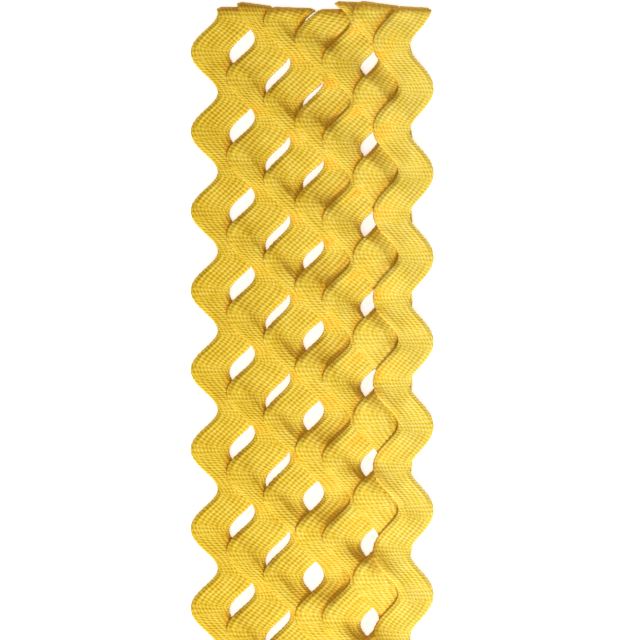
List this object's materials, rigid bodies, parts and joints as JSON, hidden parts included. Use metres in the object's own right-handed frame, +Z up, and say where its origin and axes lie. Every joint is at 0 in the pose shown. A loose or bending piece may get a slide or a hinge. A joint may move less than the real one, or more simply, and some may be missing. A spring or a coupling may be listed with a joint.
{
  "type": "flat-wound hank of ric rac trim",
  "caption": "Flat-wound hank of wavy zigzag braid, its side-by-side wraps lapping one another, with folds at both ends and narrow open gaps between the waves.",
  "frame": {"origin": "middle of the underside, on the surface that the hank lies on", "axes": "+Z up out of the front face, +Y along the hank towards the upper folds, +X to the right as seen from above"},
  "size_m": [0.0487, 0.161, 0.0047],
  "materials": {
    "polyester_trim": "matte woven polyester, golden yellow"
  },
  "bodies": {
    "root": {"hank": "polyester_trim"}
  },
  "joints": []
}
